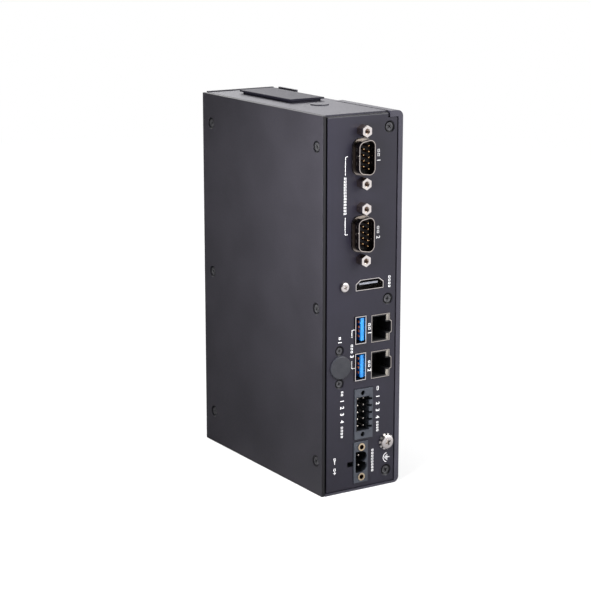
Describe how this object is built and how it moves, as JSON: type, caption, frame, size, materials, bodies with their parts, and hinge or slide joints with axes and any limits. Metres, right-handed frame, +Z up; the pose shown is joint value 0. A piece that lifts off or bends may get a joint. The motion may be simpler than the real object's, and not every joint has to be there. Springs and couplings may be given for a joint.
{
  "type": "fanless industrial pc",
  "caption": "tall narrow computer box for a machine cabinet, its aluminium wall finned to shed heat, with serial, video, network and bus ports and plug-in headers on the front",
  "frame": {"origin": "centre of the flat base that the box stands on", "axes": "+Z up along the tall side, -Y towards whoever looks at the ports, +X to the right over the narrow width"},
  "size_m": [0.0454, 0.1211, 0.1879],
  "materials": {
    "housing_paint": "fine satin powder coat on aluminium",
    "cover_paint": "fine satin powder coat on sheet steel",
    "panel_paint": "fine satin powder coat on sheet steel",
    "black_steel": "blackened steel screw",
    "nickel": "nickel plated, slightly dull",
    "zinc": "zinc plated sheet",
    "tinned_shell": "tin plated drawn steel",
    "black_plastic": "moulded glass filled plastic",
    "grey_plastic": "moulded plastic",
    "blue_plastic": "moulded plastic",
    "header_plastic": "moulded glass filled plastic",
    "light_pipe": "frosted clear plastic, unlit",
    "gold": "gold plated contact",
    "brass": "turned brass",
    "tinned_pin": "tin plated pin",
    "board_green": "solder mask on glass laminate",
    "chip_black": "moulded chip package",
    "thermal_grey": "soft filled silicone",
    "cell_steel": "plain stainless can",
    "can_aluminium": "plain drawn can",
    "choke_grey": "pressed ferrite"
  },
  "bodies": {
    "root": {"heatsink_housing": "housing_paint", "left_cover": "cover_paint", "left_cover_screws": "black_steel", "front_panel": "panel_paint", "front_panel_screws": "black_steel", "panel_screw": "nickel", "rear_panel": "panel_paint", "rear_panel_screws": "black_steel", "rail_inserts": "nickel", "top_cover": "cover_paint", "port_cap": "black_plastic", "port_cap_screws": "black_steel", "cap_bracket": "zinc", "board_bracket": "zinc", "ground_screw": "nickel", "ground_washer": "nickel", "com1_shell": "tinned_shell", "com1_insulator": "black_plastic", "com1_pins": "gold", "com2_shell": "tinned_shell", "com2_insulator": "black_plastic", "com2_pins": "gold", "com_jackscrews": "nickel", "video_port_shell": "nickel", "video_port_insert": "grey_plastic", "usb1_shell": "nickel", "usb1_insert": "blue_plastic", "usb1_contacts": "gold", "usb2_shell": "nickel", "usb2_insert": "blue_plastic", "usb2_contacts": "gold", "lan1_shell": "nickel", "lan1_insert": "black_plastic", "lan1_contacts": "gold", "lan2_shell": "nickel", "lan2_insert": "black_plastic", "lan2_contacts": "gold", "lan_light_pipes": "light_pipe", "io_header": "header_plastic", "io_header_pins": "tinned_pin", "power_header": "header_plastic", "power_header_pins": "tinned_pin", "power_header_inserts": "brass", "mainboard": "board_green", "board_screws": "nickel", "processor": "chip_black", "thermal_pad": "thermal_grey", "memory_socket": "black_plastic", "memory_module": "board_green", "storage_socket": "black_plastic", "storage_card": "board_green", "storage_screw": "nickel", "coin_cell_holder": "black_plastic", "coin_cell": "cell_steel", "capacitors": "can_aluminium", "power_choke": "choke_grey", "support_chips": "chip_black"}
  },
  "joints": []
}
